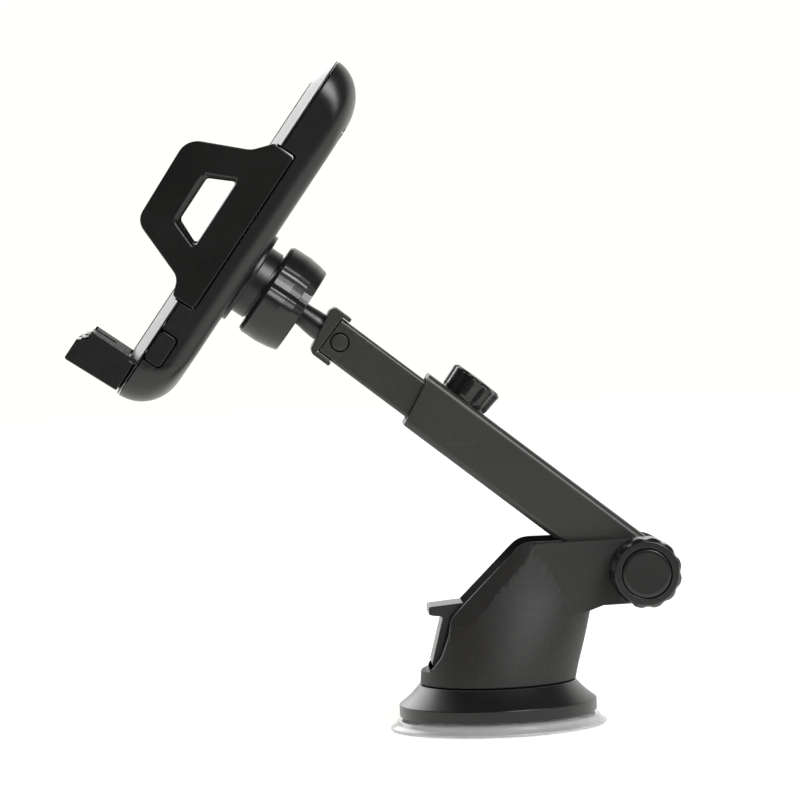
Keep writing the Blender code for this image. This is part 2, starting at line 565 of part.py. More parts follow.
def foot():
    """The ledge under the phone; its root follows the crown of the cover."""
    side = [(28, -52.9), (FOOT_FRONT_T, -53.5), (FOOT_FRONT_T, -46.2), (47.1, -45.3)]
    side += [(45.6, -44.0), (45.6, FOOT_TOP), (28, FOOT_TOP)]
    body = put("foot", prism(side, -FOOT_Y, FOOT_Y), SATIN, CRADLE)
    root = [(29.05, FOOT_Y + 0.1), (29.75, 23.8), (29.8, 22), (29.8, -22), (29.75, -23.8), (29.05, -FOOT_Y - 0.1)]
    outer = [(60, -FOOT_Y - 0.1), (60, FOOT_Y + 0.1)]
    combine(body, "INTERSECT", [prism(root + outer, -60, -40, "z")], CRADLE)
    tongue = [(22.8, -50.2), (25.0, -50.2), (31, -50.2), (31, -44.2), (25.0, -44.2), (25.0, -33), (22.8, -33)]
    combine(body, "UNION", [prism(tongue, -8, 8)], CRADLE)
    hollow = [block((33, 46), (y, y + 18), (-60, -46.6)) for y in (-24.5, 6.5)]
    combine(body, "DIFFERENCE", hollow + [block((38, 60), (-4.5, 4.5), (-60, -40))], CRADLE)
    pad_y = FOOT_Y - 1.4
    pad = put("foot_pad", block((31.6, 44.7), (-pad_y, pad_y), (FOOT_TOP + GAP, -41.4)), RUBBER, CRADLE)
    combine(pad, "DIFFERENCE", [block((37, 60), (-5.2, 5.2), (-50, -40))], CRADLE)


suction_cup()
cup_stud()
base_ring()
turret_housing()
lock_lever()
pivot_parts()
outer_tube()
thumb_screw()
inner_tube()
arm_end_cap()
ball_stud()
ball_joint()
rear_shell()
front_cover()
clamp_wing("right", 1)
clamp_wing("left", -1)
pinion_gear()
opening_springs()
release_parts()
foot()
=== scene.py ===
"""Looks of the dashboard phone mount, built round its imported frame.

Shapes are drawn in millimetres in one of three frames, and piece() turns them into metres.
BASE: X forward to back, Y across, Z up. ARM: X along the arm from its pivot, Z up across it.
CRADLE: X towards the phone, Z up its back, Y across.
"""

import json
import math

import bmesh
import bpy
from mathutils import Matrix, Vector


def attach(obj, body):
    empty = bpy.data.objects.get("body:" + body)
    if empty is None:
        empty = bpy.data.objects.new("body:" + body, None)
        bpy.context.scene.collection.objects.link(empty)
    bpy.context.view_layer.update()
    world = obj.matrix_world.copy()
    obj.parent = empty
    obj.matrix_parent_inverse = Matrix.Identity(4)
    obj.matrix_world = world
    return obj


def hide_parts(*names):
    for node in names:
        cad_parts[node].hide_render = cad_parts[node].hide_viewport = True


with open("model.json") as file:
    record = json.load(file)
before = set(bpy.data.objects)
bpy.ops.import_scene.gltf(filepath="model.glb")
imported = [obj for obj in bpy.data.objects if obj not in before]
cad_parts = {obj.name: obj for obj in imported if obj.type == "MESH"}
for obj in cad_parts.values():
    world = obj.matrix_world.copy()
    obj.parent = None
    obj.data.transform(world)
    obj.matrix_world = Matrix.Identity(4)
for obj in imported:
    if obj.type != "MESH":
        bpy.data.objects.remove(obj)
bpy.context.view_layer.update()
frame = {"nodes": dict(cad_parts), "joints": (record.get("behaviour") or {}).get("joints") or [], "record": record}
MM = 0.001
JOINTS = {joint["name"]: joint for joint in frame["joints"]}


# ---------------------------------------------------------------- camera, floor and lights

def aim(obj, target, roll=0.0):
    """Turns an object so that its -Z looks at a point, then rolls it about that line."""
    turn = (Vector(target) - obj.location).to_track_quat("-Z", "Y").to_matrix().to_4x4()
    obj.matrix_world = Matrix.Translation(obj.location) @ turn @ Matrix.Rotation(roll, 4, "Z")


def camera(target, distance, yaw, elevation, roll, lens):
    """The main camera, placed round a point by angles in degrees."""
    data = bpy.data.cameras.new("camera")
    data.lens = lens
    data.clip_end = 20.0
    obj = bpy.data.objects.new("camera", data)
    bpy.context.scene.collection.objects.link(obj)
    yaw, elevation = math.radians(yaw), math.radians(elevation)
    level = math.cos(elevation) * distance
    back = Vector((-math.sin(yaw) * level, -math.cos(yaw) * level, math.sin(elevation) * distance))
    obj.location = Vector(target) + back
    aim(obj, target, math.radians(roll))
    bpy.context.scene.camera = obj


def softbox(name, direction, distance, size, power):
    """A square light that shines on the middle of the object from a direction."""
    data = bpy.data.lights.new(name, "AREA")
    data.shape = "RECTANGLE"
    data.size, data.size_y = size
    data.energy = power
    obj = bpy.data.objects.new(name, data)
    bpy.context.scene.collection.objects.link(obj)
    middle = Vector((0, 0, 0.1))
    obj.location = middle + Vector(direction).normalized() * distance
    aim(obj, middle)


def studio_world():
    """White to the eye; as light, a bright sweep behind the object and a dark room in front of it."""
    world = bpy.data.worlds.new("studio")
    world.use_nodes = True
    bpy.context.scene.world = world
    nodes, link = world.node_tree.nodes, world.node_tree.links.new
    nodes.clear()
    out = nodes.new("ShaderNodeOutputWorld")
    seen, lit = nodes.new("ShaderNodeBackground"), nodes.new("ShaderNodeBackground")
    seen.inputs["Color"].default_value = (1.0, 1.0, 0.97, 1)
    seen.inputs["Strength"].default_value = 1.02
    lit.inputs["Color"].default_value = (1.0, 0.99, 0.97, 1)
    where, split = nodes.new("ShaderNodeTexCoord"), nodes.new("ShaderNodeSeparateXYZ")
    lowered, sweep = nodes.new("ShaderNodeMath"), nodes.new("ShaderNodeMapRange")
    lowered.operation = "MULTIPLY_ADD"
    lowered.inputs[1].default_value = -0.6
    sweep.interpolation_type = "SMOOTHSTEP"
    steps = {"From Min": -0.15, "From Max": 0.55, "To Min": ROOM_DARK, "To Max": ROOM_BRIGHT}
    for label, value in steps.items():
        sweep.inputs[label].default_value = value
    path, mix = nodes.new("ShaderNodeLightPath"), nodes.new("ShaderNodeMixShader")
    link(where.outputs["Generated"], split.inputs[0])
    link(split.outputs["Z"], lowered.inputs[0])
    link(split.outputs["Y"], lowered.inputs[2])
    link(lowered.outputs[0], sweep.inputs[0])
    link(sweep.outputs[0], lit.inputs["Strength"])
    link(path.outputs["Is Camera Ray"], mix.inputs[0])
    link(lit.outputs[0], mix.inputs[1])
    link(seen.outputs[0], mix.inputs[2])
    link(mix.outputs[0], out.inputs[0])


def floor():
    """A wide pale sheet just under the suction cup, reaching back behind the object."""
    bm = bmesh.new()
    side, front, back, height = 9.0, -0.45, 2.0, -0.0002
    corners = [(-side, front), (side, front), (side, back), (-side, back)]
    bm.faces.new([bm.verts.new((x, y, height)) for x, y in corners])
    mesh = bpy.data.meshes.new("floor")
    bm.to_mesh(mesh)
    bm.free()
    obj = bpy.data.objects.new("floor", mesh)
    bpy.context.scene.collection.objects.link(obj)
    paper = bpy.data.materials.new("pale_floor")
    paper.use_nodes = True
    shader = paper.node_tree.nodes["Principled BSDF"]
    shader.inputs["Base Color"].default_value = (0.90, 0.90, 0.885, 1)
    shader.inputs["Roughness"].default_value = 0.9
    shader.inputs["Emission Color"].default_value = (1.0, 1.0, 0.97, 1)
    shader.inputs["Emission Strength"].default_value = FLOOR_GLOW
    mesh.materials.append(paper)


ROOM_DARK, ROOM_BRIGHT, FLOOR_GLOW = 0.06, 1.25, 0.55
camera(
    target=(-0.02774, 0, 0.10715), distance=1.478, yaw=2.01, elevation=2.90, roll=-2.42, lens=205.3,
)
bpy.context.scene.view_settings.view_transform = "Standard"
studio_world()
floor()
softbox("key_softbox", direction=(0.42, -0.72, 0.55), distance=1.5, size=(0.70, 0.70), power=18)
softbox("back_softbox", direction=(-0.5, 1.0, 0.55), distance=1.9, size=(1.6, 1.0), power=13)


# ---------------------------------------------------------------- finishes

def new_group(name, numbers, results):
    """An empty shader node group with number inputs and named outputs, and its two end nodes."""
    group = bpy.data.node_groups.new(name, "ShaderNodeTree")
    for label, value in numbers.items():
        socket = group.interface.new_socket(label, in_out="INPUT", socket_type="NodeSocketFloat")
        socket.default_value = value
    for label in results:
        group.interface.new_socket(label, in_out="OUTPUT", socket_type="NodeSocketFloat")
    return group, group.nodes.new("NodeGroupInput"), group.nodes.new("NodeGroupOutput")


def math_node(tree, operation, first, second, clamp=False):
    """A Math node fed by sockets or plain numbers; gives its output socket."""
    node = tree.nodes.new("ShaderNodeMath")
    node.operation = operation
    node.use_clamp = clamp
    for socket, value in zip(node.inputs, (first, second)):
        if isinstance(value, (int, float)):
            socket.default_value = value
        else:
            tree.links.new(value, socket)
    return node.outputs[0]


def noise(tree, scale, detail, roughness=0.5, stretch=(1, 1, 1)):
    """A noise over the piece's own coordinates; scale is a socket or a number per metre."""
    where, mapping = tree.nodes.new("ShaderNodeTexCoord"), tree.nodes.new("ShaderNodeMapping")
    texture = tree.nodes.new("ShaderNodeTexNoise")
    mapping.inputs["Scale"].default_value = stretch
    texture.inputs["Detail"].default_value = detail
    texture.inputs["Roughness"].default_value = roughness
    tree.links.new(where.outputs["Object"], mapping.inputs["Vector"])
    tree.links.new(mapping.outputs[0], texture.inputs["Vector"])
    if isinstance(scale, (int, float)):
        texture.inputs["Scale"].default_value = scale
    else:
        tree.links.new(scale, texture.inputs["Scale"])
    return texture.outputs["Fac"]


def moulded_grain_group():
    """The fine spark-eroded texture of moulded plastic: its height, and flecks of lighter tone."""
    tree, enter, leave = new_group("moulded_grain", {"Scale": 2400, "Fleck": 0.3}, ("Height", "Tone"))
    fine = noise(tree, enter.outputs["Scale"], 2.0)
    coarse = noise(tree, math_node(tree, "MULTIPLY", enter.outputs["Scale"], 0.31), 1.0)
    small, large = math_node(tree, "MULTIPLY", fine, 0.65), math_node(tree, "MULTIPLY", coarse, 0.35)
    height = math_node(tree, "ADD", small, large)
    raised = math_node(tree, "SUBTRACT", height, 0.46, clamp=True)
    flecks = math_node(tree, "MULTIPLY", raised, 5.0, clamp=True)
    tone = math_node(tree, "MULTIPLY", flecks, enter.outputs["Fleck"])
    tree.links.new(height, leave.inputs["Height"])
    tree.links.new(tone, leave.inputs["Tone"])
    return tree


def edge_wear_group():
    """Where handling has polished and paled an edge, broken up so that it is never an even line."""
    tree, enter, leave = new_group("edge_wear", {"Radius": 0.0006, "Amount": 0.5}, ("Mask",))
    bevel, geometry = tree.nodes.new("ShaderNodeBevel"), tree.nodes.new("ShaderNodeNewGeometry")
    dot = tree.nodes.new("ShaderNodeVectorMath")
    dot.operation = "DOT_PRODUCT"
    tree.links.new(enter.outputs["Radius"], bevel.inputs["Radius"])
    tree.links.new(bevel.outputs[0], dot.inputs[0])
    tree.links.new(geometry.outputs["Normal"], dot.inputs[1])
    away = math_node(tree, "SUBTRACT", 1.0, dot.outputs["Value"])
    strong = math_node(tree, "MULTIPLY", away, 6.0, clamp=True)
    cloud = math_node(tree, "SUBTRACT", noise(tree, 160, 4.0), 0.38)
    patches = math_node(tree, "MULTIPLY", cloud, 3.2, clamp=True)
    broken = math_node(tree, "MULTIPLY", strong, patches)
    mask = math_node(tree, "MULTIPLY", broken, enter.outputs["Amount"])
    tree.links.new(mask, leave.inputs["Mask"])
    return tree


def handling_group():
    """Soft smears and faint hairline marks that shift the gloss of a handled surface."""
    numbers = {"Smear": 0.12, "Hairlines": 0.2}
    tree, enter, leave = new_group("handling_marks", numbers, ("Gloss Shift", "Marks"))
    smear = math_node(tree, "SUBTRACT", noise(tree, 46, 3.0, 0.6), 0.5)
    shift = math_node(tree, "MULTIPLY", smear, enter.outputs["Smear"])
    lines = noise(tree, 900, 3.0, 0.7, stretch=(0.04, 1.0, 0.3))
    thin = math_node(tree, "MULTIPLY", math_node(tree, "SUBTRACT", lines, 0.62), 9.0, clamp=True)
    marks = math_node(tree, "MULTIPLY", thin, enter.outputs["Hairlines"])
    tree.links.new(shift, leave.inputs["Gloss Shift"])
    tree.links.new(marks, leave.inputs["Marks"])
    return tree


GRAIN, WEAR, HANDLING = moulded_grain_group(), edge_wear_group(), handling_group()


def placed(tree, group, **values):
    """A group node with its own values, given by input name."""
    node = tree.nodes.new("ShaderNodeGroup")
    node.node_tree = group
    for label, value in values.items():
        node.inputs[label.replace("_", " ")].default_value = value
    return node


def tinted(tree, base, light, share):
    """A colour that goes from base to light as share goes from 0 to 1."""
    mix = tree.nodes.new("ShaderNodeMix")
    mix.data_type = "RGBA"
    first_colour, second_colour = mix.inputs[6], mix.inputs[7]
    first_colour.default_value = (*base, 1)
    second_colour.default_value = (*light, 1)
    tree.links.new(share, mix.inputs[0])
    return mix.outputs[2]


def finish(name, base, light, roughness, grain, bump, wear=0.4, smear=0.12, hairlines=0.15, metallic=0.0):
    """A procedural finish: moulded or turned grain, paler worn edges, smears and hairline marks."""
    material = bpy.data.materials.new(name)
    material.use_nodes = True
    tree = material.node_tree
    shader = tree.nodes["Principled BSDF"]
    texture = placed(tree, GRAIN, Scale=grain, Fleck=0.18)
    edges = placed(tree, WEAR, Radius=0.0005, Amount=wear)
    hands = placed(tree, HANDLING, Smear=smear, Hairlines=hairlines)
    worn = math_node(tree, "ADD", edges.outputs["Mask"], hands.outputs["Marks"], clamp=True)
    share = math_node(tree, "ADD", worn, texture.outputs["Tone"], clamp=True)
    tree.links.new(tinted(tree, base, light, share), shader.inputs["Base Color"])
    gloss = math_node(tree, "ADD", hands.outputs["Gloss Shift"], roughness)
    polished = math_node(tree, "MULTIPLY", edges.outputs["Mask"], -0.15)
    rough = math_node(tree, "ADD", gloss, polished, clamp=True)
    tree.links.new(rough, shader.inputs["Roughness"])
    relief = tree.nodes.new("ShaderNodeBump")
    relief.inputs["Strength"].default_value = 1.0
    relief.inputs["Distance"].default_value = bump
    tree.links.new(texture.outputs["Height"], relief.inputs["Height"])
    tree.links.new(relief.outputs[0], shader.inputs["Normal"])
    shader.inputs["Metallic"].default_value = metallic
    return material


def clear_gel():
    """Soft clear urethane, a little cloudy, with faint unevenness."""
    material = bpy.data.materials.new("clear_gel")
    material.use_nodes = True
    tree = material.node_tree
    shader = tree.nodes["Principled BSDF"]
    shader.inputs["Transmission Weight"].default_value = 0.66
    shader.inputs["IOR"].default_value = 1.46
    cloud = noise(tree, 60, 3.0, 0.6)
    colour = tinted(tree, (0.84, 0.85, 0.86), (0.95, 0.96, 0.96), cloud)
    tree.links.new(colour, shader.inputs["Base Color"])
    hands = placed(tree, HANDLING, Smear=0.10, Hairlines=0.0)
    tree.links.new(math_node(tree, "ADD", hands.outputs["Gloss Shift"], 0.16), shader.inputs["Roughness"])
    relief = tree.nodes.new("ShaderNodeBump")
    relief.inputs["Distance"].default_value = 0.00005
    tree.links.new(noise(tree, 240, 2.0, 0.5, stretch=(1, 1, 3)), relief.inputs["Height"])
    tree.links.new(relief.outputs[0], shader.inputs["Normal"])
    return material


SATIN = finish(
    "satin_black", base=(0.0085, 0.0083, 0.0080), light=(0.034, 0.033, 0.031),
    roughness=0.33, grain=2600, bump=0.000014, wear=0.2,
)
BASE_SATIN = finish(
    "base_satin_black", base=(0.0135, 0.0124, 0.0117), light=(0.052, 0.049, 0.046),
    roughness=0.60, grain=2200, bump=0.00002, wear=0.2,
)
ARM_SATIN = finish(
    "arm_satin_black", base=(0.027, 0.027, 0.0245), light=(0.066, 0.066, 0.061),
    roughness=0.38, grain=2300, bump=0.000018, wear=0.2,
)
WING_SATIN = finish(
    "wing_satin_black", base=(0.0055, 0.0054, 0.0050), light=(0.026, 0.0255, 0.024),
    roughness=0.30, grain=3000, bump=0.000012, wear=0.2, smear=0.2,
)
GLOSS = finish(
    "gloss_black", base=(0.010, 0.0098, 0.0094), light=(0.030, 0.030, 0.029),
    roughness=0.26, grain=2600, bump=0.000005, wear=0.12,
)
RUBBER = finish(
    "soft_rubber", base=(0.012, 0.012, 0.0115), light=(0.040, 0.040, 0.038),
    roughness=0.70, grain=1500, bump=0.00005, wear=0.1,
)
NYLON = finish(
    "white_nylon", base=(0.66, 0.65, 0.61), light=(0.80, 0.79, 0.75),
    roughness=0.45, grain=1800, bump=0.00002, wear=0.1,
)
STEEL = finish(
    "bright_steel", base=(0.46, 0.46, 0.45), light=(0.70, 0.70, 0.69),
    roughness=0.30, grain=2600, bump=0.00001, metallic=1.0,
)
BRASS = finish(
    "brass_insert", base=(0.62, 0.44, 0.20), light=(0.82, 0.66, 0.38),
    roughness=0.32, grain=2200, bump=0.00001, metallic=1.0,
)
GEL = clear_gel()
SLOT_FINISH = {
    "satin_black": SATIN, "gloss_black": GLOSS, "soft_rubber": RUBBER, "clear_gel": GEL,
    "white_nylon": NYLON, "bright_steel": STEEL, "brass_insert": BRASS,
}


# ---------------------------------------------------------------- drawing in the frame

def local_frame(origin, x_axis, z_axis):
    """A right-handed frame at a point, from its X and Z directions."""
    x_axis, z_axis = Vector(x_axis).normalized(), Vector(z_axis).normalized()
    turn = Matrix((x_axis, z_axis.cross(x_axis), z_axis)).transposed().to_4x4()
    return Matrix.Translation(Vector(origin)) @ turn


BASE = Matrix.Identity(4)
ARM = local_frame(
    JOINTS["arm_raise"]["pos_m"], JOINTS["arm_extend"]["axis"], JOINTS["thumb_knob_turn"]["axis"],
)
CRADLE = local_frame(
    JOINTS["ball_spin"]["pos_m"], JOINTS["ball_spin"]["axis"], JOINTS["ball_swing"]["axis"],
)


def span(node, place):
    """The low and high corners of a CAD node, in millimetres in a frame."""
    home = place.inverted()
    points = [home @ vertex.co / MM for vertex in frame["nodes"][node].data.vertices]
    low = Vector([min(point[i] for point in points) for i in range(3)])
    high = Vector([max(point[i] for point in points) for i in range(3)])
    return low, high


def point_on(axis, depth, a, b):
    """The point at depth along an axis, with a and b along the other two in order."""
    spot = [a, b]
    spot.insert("xyz".index(axis), depth)
    return spot


def arc(centre, radius, start, end, steps):
    """Points on an arc, angles in degrees."""
    angles = [math.radians(start + (end - start) * i / steps) for i in range(steps + 1)]
    return [(centre[0] + radius * math.cos(a), centre[1] + radius * math.sin(a)) for a in angles]


def rounded(points, steps=6):
    """An outline from (a, b, corner radius) points, each corner cut by an arc."""
    outline = []
    for i, (a, b, radius) in enumerate(points):
        corner = Vector((a, b))
        if radius == 0:
            outline.append((a, b))
            continue
        before = (Vector(points[i - 1][:2]) - corner).normalized()
        after = (Vector(points[(i + 1) % len(points)][:2]) - corner).normalized()
        half = before.angle(after) / 2
        middle = corner + (before + after).normalized() * radius / math.sin(half)
        first = corner + before * radius / math.tan(half) - middle
        last = corner + after * radius / math.tan(half) - middle
        sweep = math.atan2(first.x * last.y - first.y * last.x, first.dot(last))
        for step in range(steps + 1):
            angle = math.atan2(first.y, first.x) + sweep * step / steps
            outline.append((middle.x + radius * math.cos(angle), middle.y + radius * math.sin(angle)))
    return outline


def lofted(rings):
    """A closed body through rings of the same number of points, capped at both ends."""
    bm = bmesh.new()
    made = [[bm.verts.new(point) for point in ring] for ring in rings]
    for here, there in zip(made, made[1:]):
        for i in range(len(here)):
            j = (i + 1) % len(here)
            bm.faces.new((here[i], here[j], there[j], there[i]))
    bm.faces.new(made[0])
    bm.faces.new(made[-1])
    return bm


def prism(outline, low, high, axis="y"):
    """An outline pushed along an axis from low to high."""
    return lofted([[point_on(axis, depth, a, b) for a, b in outline] for depth in (low, high)])


def block(x, y, z):
    """A box from three (low, high) pairs."""
    return prism([(x[0], z[0]), (x[1], z[0]), (x[1], z[1]), (x[0], z[1])], *y)


def box_outline(a, b, radius):
    """A rectangle from two (low, high) pairs, as points for rounded()."""
    return [(a[0], b[0], radius), (a[1], b[0], radius), (a[1], b[1], radius), (a[0], b[1], radius)]


def turned(profile, steps, axis="z", centre=(0, 0), shape=None):
    """Turns a closed (radius, height) profile; shape(angle, radius, height) may change a radius."""
    bm = bmesh.new()
    columns = []
    for radius, height in profile:
        if radius == 0:
            columns.append([bm.verts.new(point_on(axis, height, *centre))] * steps)
            continue
        column = []
        for step in range(steps):
            angle = 2 * math.pi * step / steps
            r = shape(angle, radius, height) if shape else radius
            u = centre[0] + r * math.cos(angle)
            v = centre[1] + r * math.sin(angle)
            column.append(bm.verts.new(point_on(axis, height, u, v)))
        columns.append(column)
    for i, here in enumerate(columns):
        there = columns[(i + 1) % len(columns)]
        for step in range(steps):
            after = (step + 1) % steps
            corners = list(dict.fromkeys((here[step], here[after], there[after], there[step])))
            if len(corners) > 2:
                bm.faces.new(corners)
    return bm


def rod(radius, low, high, axis="z", centre=(0, 0), steps=48):
    """A round bar along an axis."""
    return turned([(0, low), (radius, low), (radius, high), (0, high)], steps, axis, centre)


def round_edges(bm, width, segments=3, angle=32.0):
    """Rounds the edges sharper than an angle in degrees."""
    bmesh.ops.recalc_face_normals(bm, faces=bm.faces)
    sharp = [e for e in bm.edges if e.is_manifold and e.calc_face_angle(0) > math.radians(angle)]
    bmesh.ops.bevel(
        bm, geom=sharp, offset=width, offset_type="OFFSET", segments=segments,
        profile=0.5, affect="EDGES", clamp_overlap=False,
    )
    return bm


def mesh_object(name, bm, place):
    """Puts a millimetre mesh into the scene at one of the three frames."""
    bmesh.ops.recalc_face_normals(bm, faces=bm.faces)
    bmesh.ops.scale(bm, vec=(MM, MM, MM), verts=bm.verts)
    mesh = bpy.data.meshes.new(name)
    bm.to_mesh(mesh)
    bm.free()
    obj = bpy.data.objects.new(name, mesh)
    bpy.context.scene.collection.objects.link(obj)
    obj.matrix_world = place
    return obj


def combine(obj, operation, tools, place):
    """Joins, cuts or crosses a shape with each millimetre mesh in tools, in order."""
    for bm in tools:
        tool = mesh_object("tool", bm, place)
        modifier = obj.modifiers.new("shape", "BOOLEAN")
        modifier.operation = operation
        modifier.solver = "EXACT"
        modifier.object = tool
        bpy.context.view_layer.update()
        solid = obj.evaluated_get(bpy.context.evaluated_depsgraph_get())
        made = bpy.data.meshes.new_from_object(solid)
        obj.modifiers.clear()
        obj.data = made
        bpy.data.objects.remove(tool)


def soften(obj, width, segments=2, angle=32.0):
    """Rounds every sharp edge of a finished shape; width is in millimetres."""
    bm = bmesh.new()
    bm.from_mesh(obj.data)
    bmesh.ops.remove_doubles(bm, verts=bm.verts, dist=0.004 * MM)
    flat = math.radians(0.4)
    bmesh.ops.dissolve_limit(bm, angle_limit=flat, verts=bm.verts, edges=bm.edges)
    round_edges(bm, width * MM, segments, angle)
    bmesh.ops.remove_doubles(bm, verts=bm.verts, dist=0.002 * MM)
    bm.to_mesh(obj.data)
    bm.free()


def piece(obj, material, slot, body, *nodes):
    """Smooths, paints and mounts a finished shape that stands for CAD nodes."""
    obj.data.transform(obj.matrix_world)
    obj.matrix_world = Matrix.Identity(4)
    obj.data.materials.clear()
    obj.data.materials.append(material)
    obj.data.shade_smooth()
    obj.data.set_sharp_from_angle(angle=math.radians(38))
    weighted = obj.modifiers.new("even_shading", "WEIGHTED_NORMAL")
    weighted.keep_sharp = True
    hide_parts(*nodes)
    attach(obj, body)


# ---------------------------------------------------------------- suction base

CUP_R, RING_R = span("suction_cup", BASE)[1].x, span("base_ring", BASE)[1].x
RING_LOW, RING_TOP = span("base_ring", BASE)[0].z, span("base_ring", BASE)[1].z
TURRET_LOW, CREST = span("turret_housing", BASE)[0].z, span("turret_housing", BASE)[1].z
CHEEK_Y, CHANNEL_Y = 13.5, 10.9
PIVOT = (JOINTS["arm_raise"]["pos_m"][0] / MM, JOINTS["arm_raise"]["pos_m"][2] / MM)
PIVOT_R = 10.5
LEVER_PIN = (JOINTS["lever_lift"]["pos_m"][0] / MM, JOINTS["lever_lift"]["pos_m"][2] / MM)


def suction_cup():
    """A thin clear disc with a rounded lip, a shallow bead and a hub with room for the stud to drop."""
    rim = [(0, 0, 0), (CUP_R, 0, 0.35), (CUP_R, 0.9, 0.4), (33.6, 1.9, 1.0), (32.9, 3.1, 0.5)]
    top = [(31.0, 3.6, 0.6), (15.0, 3.9, 0), (13.0, 6.2, 0.4), (3.6, 6.2, 0), (3.6, 4.4, 0)]
    well = [(11.4, 4.4, 0), (11.4, 0.55, 0), (0, 0.55, 0)]
    cup = mesh_object("clear_cup", turned(rounded(rim + top + well, 5), 144), BASE)
    piece(cup, GEL, "clear_gel", "base", "suction_cup")


def base_ring():
    """The cone over the cup, a little hollow in its flank, with a soft shoulder."""
    inside = [(8.2, 12.6), (22, 12.6), (29.8, 6.6), (29.8, RING_LOW)]
    foot = [(29.8, RING_LOW, 0), (RING_R, RING_LOW, 0.35), (RING_R, 8.1, 0.5), (30.3, 9.6, 0)]
    foot = rounded(foot, 4)[1:-1]
    flank = []
    for step in range(9):
        share = step / 8
        dip = 0.25 * math.sin(math.pi * share)
        flank.append((31.6 - share * 5.9 - dip * 0.7, 8.5 + share * 5.6 - dip * 0.7))
    shoulder = arc((25.35, 13.9), 0.5, 40, 90, 4)
    profile = inside + foot + flank + shoulder + [(8.2, RING_TOP)]
    ring = mesh_object("cup_cover", turned(profile, 144), BASE)
    piece(ring, SATIN, "satin_black", "base", "base_ring")


def smooth_stations(stations, steps):
    """More rows between rows of numbers, along smooth curves through them."""
    rows = []
    for i in range(len(stations) - 1):
        a, b = stations[max(i - 1, 0)], stations[i]
        c, d = stations[i + 1], stations[min(i + 2, len(stations) - 1)]
        for step in range(steps):
            t = step / steps
            row = []
            for p, q, r, s in zip(a, b, c, d):
                bend = 2 * q + (r - p) * t + (2 * p - 5 * q + 4 * r - s) * t ** 2
                row.append(0.5 * (bend + (3 * q - p - 3 * r + s) * t ** 3))
            rows.append(row)
    return rows + [list(stations[-1])]


def turret_body():
    """The round body as stacked ovals of (height, front, back, half width)."""
    stations = [(TURRET_LOW, -25.0, 25.6, 25.2), (19, -24.6, 26.6, 24.9), (26, -23.8, 28.6, 23.4)]
    stations += [(33, -23.0, 30.4, 21.2), (39, -22.0, 31.6, 18.8), (46, -20.0, 31.8, 16.2)]
    stations += [(CREST + 1, -14.0, 31.8, 13.2)]
    rings = []
    for height, front, back, half in smooth_stations(stations, 5):
        middle, reach = (front + back) / 2, (back - front) / 2
        angles = [2 * math.pi * step / 112 for step in range(112)]
        rings.append([(middle + reach * math.cos(a), half * math.sin(a), height) for a in angles])
    return lofted(rings)


def crest_chamfers():
    """Wedges that plane the long sloping edges of the front opening, one for each side."""
    low, high = Vector((-14.7, 0, 36.7)), Vector((6.4, 0, 57.4))
    across = Vector((0, 1, 0))
    along = (high - low).normalized()
    slope = Matrix.Translation(low) @ Matrix((along, across, along.cross(across))).transposed().to_4x4()
    wedges = []
    for side in (-1, 1):
        rings = []
        for station in range(-14, 54, 4):
            # edge is the half width at the crest, spread how fast the plane widens below it
            edge, spread = 13.1 - 0.055 * station, 1.03 - 0.011 * station
            outline = [(edge - 2 * spread, 2), (edge + 9 * spread, -9), (40, -9), (40, 2)]
            rings.append([(station, side * y, z) for y, z in outline])
        wedge = lofted(rings)
        bmesh.ops.transform(wedge, matrix=slope, verts=wedge.verts)
        wedges.append(wedge)
    return wedges


def turret_housing():
    """The round body and its nose, cut by the front opening, the channel for the arm and the pins."""
    end = arc(PIVOT, PIVOT_R, -90, 90, 32)
    nose = [(3, 46.3)] + [(15, 33.4), (27.3, 36.2), (34.6, 38.7)]
    opening = [(-40, 19.2), (-22.6, 19.3), (-20.8, 21.1), (-18.4, 24.2), (-15.8, 30.9), (-14.7, 36.7)]
    crest = opening + [(6.4, 57.4)] + [(8.0, 58.8), (9.6, 59.7), (11.2, CREST - 0.1)]
    crest += [(13, CREST), (70, CREST), (70, 80), (-40, 80)]
    channel = [(-21.4, 18), (9.5, 18), (9.5, 50), (36.5, 41), (36.5, 30)]
    channel += [(75, 30), (75, 90), (-40, 90), (-40, 19.4), (-21.4, 19.4)]
    turret = mesh_object("turret", turret_body(), BASE)
    combine(turret, "UNION", [prism(nose + end + [(3, 59.6)], -CHEEK_Y, CHEEK_Y)], BASE)
    cuts = [prism(crest, -40, 40), prism(channel, -CHANNEL_Y, CHANNEL_Y), *crest_chamfers()]
    cuts += [rod(8.2, 14, 16.4), rod(3.6, 14, 19)]
    cuts += [rod(3.3, -20, 20, "y", PIVOT), rod(2.0, -12.3, 12.3, "y", LEVER_PIN)]
    combine(turret, "DIFFERENCE", cuts, BASE)
    soften(turret, 0.45, 3)
    piece(turret, BASE_SATIN, "satin_black", "base", "turret_housing")


